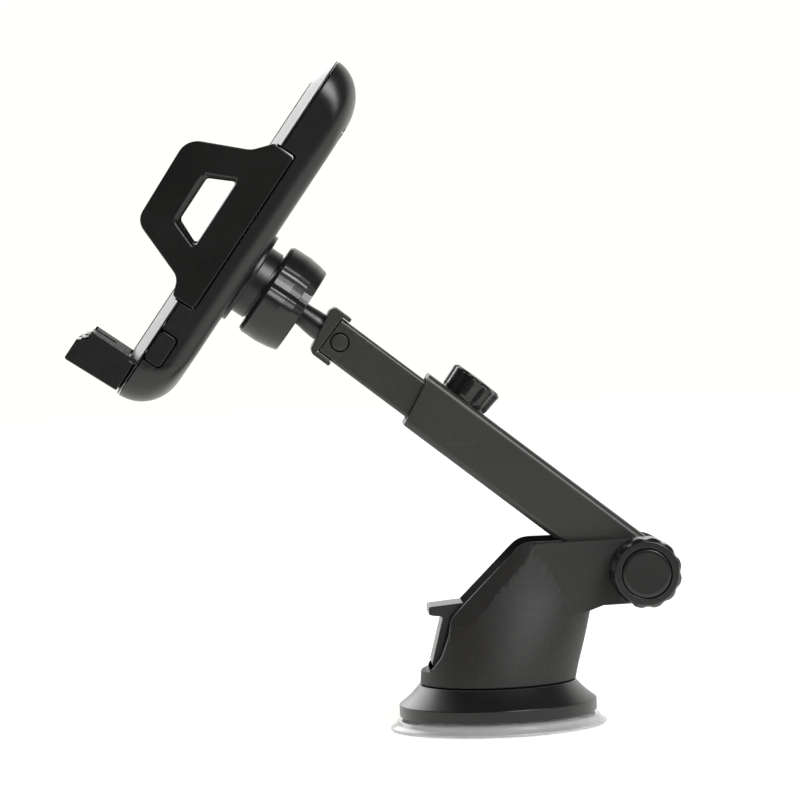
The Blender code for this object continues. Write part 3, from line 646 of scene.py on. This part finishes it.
def lock_lever():
    """A bent thumb tab on a rib, with two hooked ears round its pin."""
    tab = rounded([
        (-21.6, 40.2, 0.5), (-21.6, 37.7, 0.4), (-20.2, 37.3, 0.3), (-17.1, 37.0, 0.8), (-21.2, 22.0, 0.6),
        (-21.0, 21.2, 0.3), (-18.6, 21.2, 0.3), (-14.4, 37.2, 1.6), (-10.2, 38.8, 0.4), (-10.2, 41.2, 0.6),
    ], 4)
    hub = arc(LEVER_PIN, 2.9, 60, 150, 12) + [(-19.4, 26.2), (-19.6, 21.8), (-8, 20.9)]
    hub += arc(LEVER_PIN, 2.9, 250, 300, 8) + [(2.0, 22.6), (2.0, 24.6), (0, 24.6), (-3.2, 23.3)]
    lever = mesh_object("lever", prism(tab, -8.5, 8.5), BASE)
    rib = prism([(-19.3, 23.0), (-15.6, 36.6), (-14.6, 36.6), (-18.3, 23.0)], -5.2, 5.2)
    combine(lever, "UNION", [prism(hub, 3.9, 7.2), prism(hub, -7.2, -3.9), rib], BASE)
    combine(lever, "DIFFERENCE", [rod(1.9, -9, 9, "y", LEVER_PIN)], BASE)
    soften(lever, 0.3, 3)
    piece(lever, SATIN, "satin_black", "lever", "lock_lever")


def cup_stud():
    """The plate in the cup, its stem, and the bar that the lever's ears hold."""
    stem = turned([(0, 2.8), (11, 2.8), (11, 4.1), (3, 4.1), (3, 27.4), (0, 27.4)], 64)
    stud = mesh_object("stud", stem, BASE)
    combine(stud, "UNION", [block((-2.6, 3.2), (-7.4, 7.4), (25, 27.8))], BASE)
    soften(stud, 0.25)
    piece(stud, NYLON, "white_nylon", "stud", "cup_stud")


# ---------------------------------------------------------------- arm pivot

KNOB_LOW = span("knob_cap", BASE)[0].y


def lobes(count, depth, low, high, least, first=0.0):
    """A shape for turned(): grooves between lobes, only between two heights and beyond a radius."""
    def shape(angle, radius, height):
        if radius <= least:
            return radius
        ends = min(1.0, max(0.0, min(height - low, high - height) / 0.8))
        groove = (0.5 + 0.5 * math.cos(count * (angle - first))) ** 2
        return max(least, radius - depth * ends * groove)
    return shape


def pivot_knob():
    """A round hand knob: grooved grip, smooth front ring and an inset cap."""
    end = KNOB_LOW + 0.3
    profile = rounded([
        (3.4, -14, 0), (11.0, -14, 0.3), (11.4, -15, 0.3), (11.4, -24.2, 0.7), (10.2, end, 0.5),
        (8.1, end, 0.25), (8.1, -24.1, 0.2), (3.4, -24.1, 0),
    ], 5)
    shape = lobes(12, 0.7, -24.9, -14.4, 10.5)
    knob = mesh_object("pivot_grip", turned(profile, 144, "y", PIVOT, shape), BASE)
    piece(knob, GLOSS, "gloss_black", "pivot_grip", "pivot_knob")
    face = KNOB_LOW
    disc = rounded([
        (0, -24.4, 0), (7.8, -24.4, 0.1), (7.8, face + 0.05, 0.45), (6.6, face, 1.0), (0, face + 0.1, 0),
    ], 5)
    cap = mesh_object("grip_cap", turned(disc, 112, "y", PIVOT), BASE)
    piece(cap, GLOSS, "gloss_black", "pivot_grip", "knob_cap")


def bolt_cover():
    """The round cap over the far end of the pivot bolt."""
    profile = rounded([
        (0, 19.4, 0), (7.8, 19.4, 0.8), (8.8, 18.4, 0.6), (8.8, 13.8, 0.2),
        (6.0, 13.8, 0), (6.0, 17.8, 0), (0, 17.8, 0),
    ], 5)
    cover = mesh_object("bolt_cap", turned(profile, 96, "y", PIVOT), BASE)
    piece(cover, SATIN, "satin_black", "base", "bolt_cover")


def washers():
    """The two friction washers between the arm and the turret's cheeks."""
    for name, low in (("near_washer", -10.6), ("far_washer", 9.9)):
        ring = rounded([(3.4, low, 0.1), (8.6, low, 0.2), (8.6, low + 0.7, 0.2), (3.4, low + 0.7, 0.1)], 3)
        washer = mesh_object(name + "_ring", turned(ring, 96, "y", PIVOT), BASE)
        piece(washer, NYLON, "white_nylon", "base", name)


# ---------------------------------------------------------------- telescopic arm

OUTER_HIGH = span("outer_tube", ARM)[1]
INNER_LOW, INNER_HIGH = span("inner_tube", ARM)
THUMB_LOW, THUMB_HIGH = span("thumb_knob", ARM)
THUMB_S = (THUMB_LOW.x + THUMB_HIGH.x) / 2
CAP_PIN_S = 122.3
BALL = span("ball_stud", ARM)[1].x
BALL_R = 8.2
BALL_S = BALL - BALL_R


def outer_tube():
    """A square tube with rounded edges, a round end at the pivot and a slanted mouth."""
    half_y, half_h, mouth = OUTER_HIGH.y, OUTER_HIGH.z, OUTER_HIGH.x - 1.6
    end = arc((0, 0), half_h, 90, 270, 48)
    side = end + [(mouth - 1.6, -half_h), (mouth + 1.6, half_h)]
    tube = mesh_object("outer_arm_tube", prism(side, -half_y, half_y), ARM)
    skin = prism(rounded(box_outline((-half_y, half_y), (-half_h, half_h), 2.2), 8), -30, 110, "x")
    combine(tube, "INTERSECT", [skin], ARM)
    bore = prism(rounded(box_outline((-7.9, 7.9), (-7.1, 7.1), 1.2), 4), 14, 120, "x")
    holes = [rod(3.4, -20, 20, "y"), rod(4.6, 5, 12, centre=(THUMB_S, 0))]
    combine(tube, "DIFFERENCE", [bore] + holes, ARM)
    soften(tube, 0.35, 2, 40)
    piece(tube, ARM_SATIN, "satin_black", "outer_arm", "outer_tube")


def thumb_knob():
    """A crowned screw head with broad lobes that flare a little towards its top."""
    base, top, r = THUMB_LOW.z - 0.2, THUMB_HIGH.z + 0.5, 9.1
    profile = rounded([
        (0, base, 0), (r - 0.9, base, 0.3), (r - 0.5, base + 1.2, 0.6), (r - 0.2, top - 2.4, 1.5),
        (r, top - 1.3, 0.6), (r - 1.2, top - 0.4, 0.9), (0, top, 0),
    ], 6)
    shape = lobes(8, 0.9, base - 0.3, top + 0.6, r - 1.9, math.radians(12))
    knob = mesh_object("thumb_grip", turned(profile, 160, centre=(THUMB_S, 0), shape=shape), ARM)
    piece(knob, GLOSS, "gloss_black", "thumb_grip", "thumb_knob")


def inner_tube():
    """The thinner square tube that slides in the outer one."""
    half_y, half_h = INNER_HIGH.y, INNER_HIGH.z
    section = rounded(box_outline((-half_y, half_y), (-half_h, half_h), 1.3), 6)
    tube = mesh_object("inner_arm_tube", prism(section, INNER_LOW.x, INNER_HIGH.x, "x"), ARM)
    hollow = prism(rounded(box_outline((-5.9, 5.9), (-5.0, 5.0), 0.6), 4), 30, 140, "x")
    combine(tube, "DIFFERENCE", [hollow, rod(3.2, -10, 10, "y", (CAP_PIN_S, 0))], ARM)
    soften(tube, 0.2, 2, 40)
    piece(tube, ARM_SATIN, "satin_black", "inner_arm", "inner_tube")


def arm_end_cap():
    """The plug at the end of the inner tube, with lips above and below, and its snap pin."""
    side = rounded([
        (120.6, -8.3, 0.4), (128.3, -8.3, 2.2), (131.4, 8.3, 2.0), (123.5, 8.3, 0.5), (123.5, 6.9, 0),
        (126.3, 6.9, 0), (126.3, -6.9, 0), (120.6, -6.9, 0),
    ], 5)
    cap = mesh_object("arm_end", prism(side, -8.1, 8.1), ARM)
    combine(cap, "UNION", [block((117.5, 127), (-5.6, 5.6), (-4.7, 4.7))], ARM)
    combine(cap, "DIFFERENCE", [rod(4.5, 110, 140, "x"), rod(1.9, -10, 10, "y", (CAP_PIN_S, 0))], ARM)
    soften(cap, 0.35, 3)
    piece(cap, ARM_SATIN, "satin_black", "inner_arm", "arm_end_cap")
    half = rounded([(0, 7.75, 0), (2.7, 7.75, 0.3), (2.7, 6.2, 0), (1.6, 6.2, 0)], 4)
    profile = half + [(r, -y) for r, y in reversed(half)]
    pin = mesh_object("end_pin", turned(profile, 64, "y", (CAP_PIN_S, 0)), ARM)
    piece(pin, ARM_SATIN, "satin_black", "inner_arm", "end_cap_pin")


def ball_stud():
    """The neck, waisted towards the ball, and the ball that the cradle turns on."""
    neck_end = BALL_S - 7.2
    ball = [(r, s) for s, r in arc((BALL_S, 0), BALL_R, 153, 0, 30) if r > 0.01]
    neck = [(0, 118.5), (4.2, 118.5), (4.4, 131.0), (4.2, 133.6), (3.95, 135.6), (3.8, neck_end)]
    stud = mesh_object("neck_and_ball", turned(neck + ball + [(0, BALL)], 96, "x"), ARM)
    piece(stud, SATIN, "satin_black", "inner_arm", "ball_stud")


# ---------------------------------------------------------------- ball joint

def shell_arc(radius, start, end, steps):
    """(radius, height) points on a sphere about the ball's middle, angles from the joint's axis."""
    return [(r, t) for t, r in arc((0, 0), radius, start, end, steps)]


def ball_joint():
    """The liner and the clamp ring that hold the ball, in the socket on the cradle's back."""
    liner = shell_arc(9.1, 15, 85, 20) + shell_arc(8.5, 85, 15, 20)
    liner = mesh_object("liner", turned(liner, 96, "x"), CRADLE)
    piece(liner, NYLON, "white_nylon", "tilt_seat", "ball_liner")
    ring = shell_arc(8.5, 105, 119, 6) + [(8.4, -6.0), (11.0, -4.4), (11.0, -2.2)]
    ring = mesh_object("grip_ring", turned(ring, 96, "x"), CRADLE)
    piece(ring, NYLON, "white_nylon", "swing_ring", "clamp_ring")
    collar = rounded([
        (9.38, -1.49, 0), (11.4, -1.5, 0), (11.4, 7.6, 0), (12.0, 7.6, 0.2), (12.0, 12.1, 0.4),
        (15.8, 12.1, 0.3), (15.8, 13.3, 0), (8.9, 13.3, 0), (8.9, 17.0, 0), (2.3, 17.0, 0),
    ], 5)
    socket = shell_arc(9.5, 14, 98, 20) + collar[1:]
    socket = mesh_object("socket", turned(socket, 96, "x"), CRADLE)
    piece(socket, SATIN, "satin_black", "cradle", "ball_socket")


def nut_valley(angle):
    """How deep the grip is cut at an angle: three valleys, stepped on one side, soft on the other."""
    away = (math.degrees(angle) - 20 + 60) % 120 - 60
    steps = [(-27, 0), (-16, 0.7), (-6, 2.1), (8, 2.4), (9.5, 1.3), (13, 1.15), (14.5, 0.1), (18, 0)]
    for (here, depth), (there, deeper) in zip(steps, steps[1:]):
        if here <= away <= there:
            share = (away - here) / (there - here)
            return depth + (deeper - depth) * share * share * (3 - 2 * share)
    return 0.0


def ring_nut():
    """The locking nut: three wide lobes parted by shallow stepped valleys."""
    low, high = span("ring_nut", CRADLE)
    r, collar = high.z, 13.2
    profile = rounded([
        (9.4, low.x, 0.3), (14.9, low.x, 0.6), (r - 0.5, -4.0, 3.0), (r, 0, 4.0),
        (r - 0.1, high.x - 1.2, 0.8), (r - 0.9, high.x, 0.3), (11.75, high.x, 0.2),
        (11.75, -4.9, 0), (9.4, -6.6, 0),
    ], 6)

    def shape(angle, radius, height):
        return radius if radius < collar else max(collar, radius - nut_valley(angle))

    nut = mesh_object("lock_nut_grip", turned(profile, 240, "x", shape=shape), CRADLE)
    piece(nut, GLOSS, "gloss_black", "lock_nut", "ring_nut")


# ---------------------------------------------------------------- cradle

SHELL_LOW, SHELL_HIGH = span("rear_shell", CRADLE)
COVER_LOW, COVER_HIGH = span("front_cover", CRADLE)
BACK_T, PARTING_T, FACE_T = SHELL_LOW.x, SHELL_HIGH.x, COVER_HIGH.x
BODY_Y, BODY_LOW, BODY_HIGH, BODY_CORNER = SHELL_HIGH.y, COVER_LOW.z, COVER_HIGH.z, 14.0
EDGE_T, CROWN_Y = 28.2, 17.5
SHELL_WALL, SIDE_ROUND, TOP_SWEEP, BOTTOM_SWEEP = 2.0, 6.0, 17.0, 14.0
WING_LOW, WING_HIGH = span("right_wing", CRADLE)
WING_GAP = 0.5
SCREW_SPOTS = [(side * 18.5, height) for height in (-22, 54) for side in (-1, 1)]


def face_ring(t, side, low, high, radius, steps=10):
    """One rounded rectangle of the cradle, across its depth at t."""
    return [(t, y, z) for y, z in rounded(box_outline((-side, side), (low, high), radius), steps)]


def shell_skin(inset, front):
    """The back of the cradle: long sweeps at its ends, a small round along its sides."""
    back, side_round = BACK_T + inset, SIDE_ROUND - inset
    rings = []
    for step in range(29):
        turn = math.radians(90 * step / 28)
        t = PARTING_T - (PARTING_T - back) * math.cos(turn)
        bow = 1 - math.sin(turn)
        lean = max(0.0, (back + side_round - t) / side_round)
        side = BODY_Y - inset - side_round * (1 - math.sqrt(max(0.0, 1 - lean * lean)))
        low = BODY_LOW + inset + BOTTOM_SWEEP * bow
        rings.append(face_ring(t, side, low, BODY_HIGH - inset - TOP_SWEEP * bow, BODY_CORNER - inset))
    if front > PARTING_T:
        low, high = BODY_LOW + inset, BODY_HIGH - inset
        rings.append(face_ring(front, BODY_Y - inset, low, high, BODY_CORNER - inset))
    return lofted(rings)


def recess(back, radius=1.0):
    """The cut right across the cradle that the clamp wings sit in, or its two side notches."""
    low, high = WING_LOW.z - WING_GAP, WING_HIGH.z + WING_GAP
    return rounded([(40, high, 0), (back, high, radius), (back, low, radius), (40, low, 0)], 5)


def rear_shell():
    """The hollow back, with screw posts, cuts for wings, buttons and foot, and the pinion's spindle."""
    shell = mesh_object("cradle_back", shell_skin(0, PARTING_T), CRADLE)
    combine(shell, "DIFFERENCE", [shell_skin(SHELL_WALL, PARTING_T + 5)], CRADLE)
    posts = [rod(4.2, BACK_T + 1, 21.3, "x", spot, 32) for spot in SCREW_SPOTS]
    combine(shell, "UNION", posts, CRADLE)
    notch = rounded([(40, -28.3, 0), (20.9, -28.3, 1.6), (20.9, -39.9, 1.6), (40, -39.9, 0)], 5)
    cuts = [prism(recess(WING_LOW.x - 0.4), -40, 40), prism(notch, 24, 44), prism(notch, -44, -24)]
    cuts += [block((22.2, 40), (-8.4, 8.4), (-70, -46)), rod(9.3, 5, 16.5, "x")]
    cuts += [rod(1.6, 5, 30, "x", spot, 24) for spot in SCREW_SPOTS]
    cuts += [rod(3.0, 5, BACK_T + 2.0, "x", spot, 40) for spot in SCREW_SPOTS]
    combine(shell, "DIFFERENCE", cuts, CRADLE)
    spindle = [(0, BACK_T + 1), (2.6, BACK_T + 1), (2.6, 17.4), (1.7, 17.4), (1.7, 26.8), (0, 26.8)]
    spring_post = block((BACK_T + 1, 26.8), (-1.6, 1.6), (25.0, 31.0))
    combine(shell, "UNION", [turned(spindle, 32, "x", (0, 14.0)), spring_post], CRADLE)
    soften(shell, 0.25, 2, 40)
    piece(shell, SATIN, "satin_black", "cradle", "rear_shell")


def front_cover():
    """A crowned plate with sloping borders, pockets for pad and foot, and a fine gap to the shell."""
    base, flat = PARTING_T + 0.3, BODY_Y - CROWN_Y
    # each border is (depth, and how far in it lies at the sides, the bottom and the top)
    borders = (
        (base, 0.2, 0.2, 0.2), (base + 0.15, 0, 0, 0), (EDGE_T - 0.1, 0, 0, 0),
        (EDGE_T + 0.12, 0.4, 0.7, 0.5), (29.3, 0.4 + flat * 0.38, 3.2, 3.6),
        (FACE_T - 0.15, flat - 0.4, 12.0, 8.6), (FACE_T - 0.03, flat + 0.6, 13.2, 9.8),
        (FACE_T, flat + 1.6, 14.4, 11.0),
    )
    rings = []
    for t, side, low, high in borders:
        radius = BODY_CORNER - min(side, 9)
        rings.append(face_ring(t, BODY_Y - side, BODY_LOW + low, BODY_HIGH - high, radius, 14))
    cover = mesh_object("cradle_front", lofted(rings), CRADLE)
    bosses = [rod(3.0, 21.7, PARTING_T + 1, "x", spot, 32) for spot in SCREW_SPOTS]
    combine(cover, "UNION", bosses, CRADLE)
    pad_low, pad_high = span("front_pad", CRADLE)
    foot_y, foot_top = span("foot", CRADLE)[1].y + 0.3, span("foot_pad", CRADLE)[0].z + 0.6
    pocket = face_ring(0, pad_high.y + 0.3, pad_low.z - 0.3, pad_high.z + 0.3, 6.3, 8)
    cuts = [prism([(y, z) for _, y, z in pocket], pad_low.x - 0.3, 40, "x")]
    cuts += [prism(recess(20), *sorted((side * 24, side * 44))) for side in (-1, 1)]
    cuts += [block((pad_low.x - 0.15, 40), (-foot_y, foot_y), (-70, foot_top))]
    cuts += [block((20, 40), (-8.4, 8.4), (-70, -43.4))]
    cuts += [rod(1.5, 20, 26.6, "x", spot, 24) for spot in SCREW_SPOTS]
    combine(cover, "DIFFERENCE", cuts, CRADLE)
    soften(cover, 0.2, 2, 40)
    piece(cover, SATIN, "satin_black", "cradle", "front_cover")


def front_pad():
    """The rubber pad that the phone leans on, with fine cross grooves."""
    low, high = span("front_pad", CRADLE)
    rings = []
    for t, inset in ((low.x, 0), (high.x - 0.35, 0), (high.x - 0.1, 0.15), (high.x, 0.45)):
        rings.append(face_ring(t, high.y - inset, low.z + inset, high.z - inset, 6 - inset, 8))
    pad = mesh_object("grip_pad", lofted(rings), CRADLE)
    ribs = [block((high.x - 0.25, high.x + 1), (-12, 12), (z - 0.5, z + 0.5)) for z in range(-34, 60, 4)]
    combine(pad, "DIFFERENCE", ribs, CRADLE)
    soften(pad, 0.08, 1, 50)
    piece(pad, RUBBER, "soft_rubber", "cradle", "front_pad")


def wing_outline():
    """The clamp wing seen from the side, as (towards the phone, up, corner radius) points."""
    back, low, high = WING_LOW.x, WING_LOW.z, WING_HIGH.z
    foot = [(back, high - 0.4, 1.2), (back, low, 1.4), (30.4, low, 1.2), (32.4, -12.2, 5.0)]
    return rounded(foot + [(53.1, -4.3, 5.5), (54.2, 26.0, 7.0), (35.2, 34.4, 8.0), (30.2, high, 1.0)], 8)


def wing_window(grow):
    """The opening through a wing; its lip slopes in from all sides but the front one."""
    return rounded([
        (33.4 - 0.2 * grow, 23.4 + 1.4 * grow, 0.8), (33.2 - 0.1 * grow, -0.9 - 0.9 * grow, 1.0),
        (42.0 + 1.6 * grow, 3.0 - 0.8 * grow, 1.8), (42.1 + 1.9 * grow, 19.1 + 0.9 * grow, 1.6),
    ], 6)


def clamp_wing(name, side):
    """One clamp wing with its bevelled window, and the rubber pad inside it."""
    outer, inner = side * WING_HIGH.y, side * WING_LOW.y
    wing = mesh_object(f"{name}_clamp", prism(wing_outline(), *sorted((outer, inner))), CRADLE)
    depths = ((inner - side, 0), (outer - side * 1.5, 0), (outer + side * 0.3, 1.2))
    lip = [(y, wing_window(grow)) for y, grow in depths]
    opening = lofted([[(t, y, z) for t, z in outline] for y, outline in lip])
    combine(wing, "DIFFERENCE", [opening], CRADLE)
    soften(wing, 0.45, 3, 40)
    piece(wing, WING_SATIN, "satin_black", f"{name}_clamp", f"{name}_wing")
    low, high = span(f"{name}_wing_pad", CRADLE)
    pad = prism(rounded(box_outline((low.x, high.x), (low.z, high.z), 3.2), 8), low.y, high.y)
    pad = mesh_object(f"{name}_clamp_pad", round_edges(pad, 0.3), CRADLE)
    piece(pad, RUBBER, "soft_rubber", f"{name}_clamp", f"{name}_wing_pad")


def release_button(name, side):
    """A square push button with softened edges and a ramp that reaches the latch."""
    outline = rounded(box_outline((21.4, 27.3), (-39.4, -28.8), 1.4), 6)
    button = prism(outline, *sorted((side * 22.0, side * 28.8)))
    button = mesh_object(f"{name}_push_button", button, CRADLE)
    ramp = [(side * 14.6, -28.4), (side * 20.0, -33.8), (side * 24.8, -33.8), (side * 24.8, -28.9)]
    flange = block((20.2, 27.35), sorted((side * 23.4, side * 25.6)), (-40.6, -27.6))
    combine(button, "UNION", [prism(ramp + [(side * 18.0, -28.4)], 17.6, 22.4, "x"), flange], CRADLE)
    soften(button, 0.3, 3, 40)
    piece(button, SATIN, "satin_black", f"{name}_release", f"{name}_button")


def foot():
    """The ledge under the phone, hollow below, split by a cable notch and grooved near its tip."""
    high, (pad_low, pad_high) = span("foot", CRADLE)[1], span("foot_pad", CRADLE)
    top = pad_low.z - 0.3
    side = rounded([
        (28.0, -52.9, 0), (high.x, -53.5, 0.8), (high.x, -46.2, 0.4), (47.2, -45.6, 0.2),
        (47.1, -44.7, 0.2), (45.7, -44.1, 0.2), (45.6, top, 0.3), (28.0, top, 0),
    ], 4)
    body = mesh_object("foot_ledge", prism(side, -high.y, high.y), CRADLE)
    wide = high.y + 0.1
    root = [(28.75, wide), (29.35, 23.8), (29.4, 22), (29.4, -22), (29.35, -23.8), (28.75, -wide)]
    combine(body, "INTERSECT", [prism(root + [(60, -wide), (60, wide)], -60, -40, "z")], CRADLE)
    tongue = [(22.8, -50.2), (31, -50.2), (31, -44.2), (25.0, -44.2), (25.0, -33), (22.8, -33)]
    rim = 1.2
    rims = [block((30.6, 45.5), (y, y + rim), (top - 0.4, pad_high.z)) for y in (-high.y, high.y - rim)]
    combine(body, "UNION", [prism(tongue, -8, 8)] + rims, CRADLE)
    hollow = [block((33, 46), (y, y + high.y - 8.5), (-60, -46.6)) for y in (2 - high.y, 6.5)]
    notch = rounded([(60, -4.5, 0), (60, 4.5, 0), (38, 4.5, 2.0), (38, -4.5, 2.0)], 5)
    combine(body, "DIFFERENCE", hollow + [prism(notch, -60, -40, "z")], CRADLE)
    soften(body, 0.35, 3, 40)
    piece(body, SATIN, "satin_black", "foot_slide", "foot")
    back, front, width = pad_low.x, pad_high.x, pad_high.y
    outline = rounded([
        (back, -width, 1.0), (front, -width, 1.0), (front, -5.2, 0.5), (37, -5.2, 1.5),
        (37, 5.2, 1.5), (front, 5.2, 0.5), (front, width, 1.0), (back, width, 1.0),
    ], 5)
    pad = prism(outline, pad_low.z, pad_high.z, "z")
    pad = mesh_object("foot_grip", pad, CRADLE)
    soften(pad, 0.2, 2, 40)
    piece(pad, RUBBER, "soft_rubber", "foot_slide", "foot_pad")


# ---------------------------------------------------------------- the whole

def paint_inner_parts():
    """Gives every remaining CAD node the finish of its slot."""
    for part in frame["record"]["subparts"]:
        mesh = frame["nodes"][part["node"]].data
        mesh.materials.clear()
        mesh.materials.append(SLOT_FINISH[part["material_slot"]])


suction_cup()
base_ring()
turret_housing()
lock_lever()
cup_stud()
pivot_knob()
bolt_cover()
washers()
outer_tube()
thumb_knob()
inner_tube()
arm_end_cap()
ball_stud()
ball_joint()
ring_nut()
rear_shell()
front_cover()
front_pad()
for wing_name, wing_side in (("right", 1), ("left", -1)):
    clamp_wing(wing_name, wing_side)
    release_button(wing_name, wing_side)
foot()
paint_inner_parts()
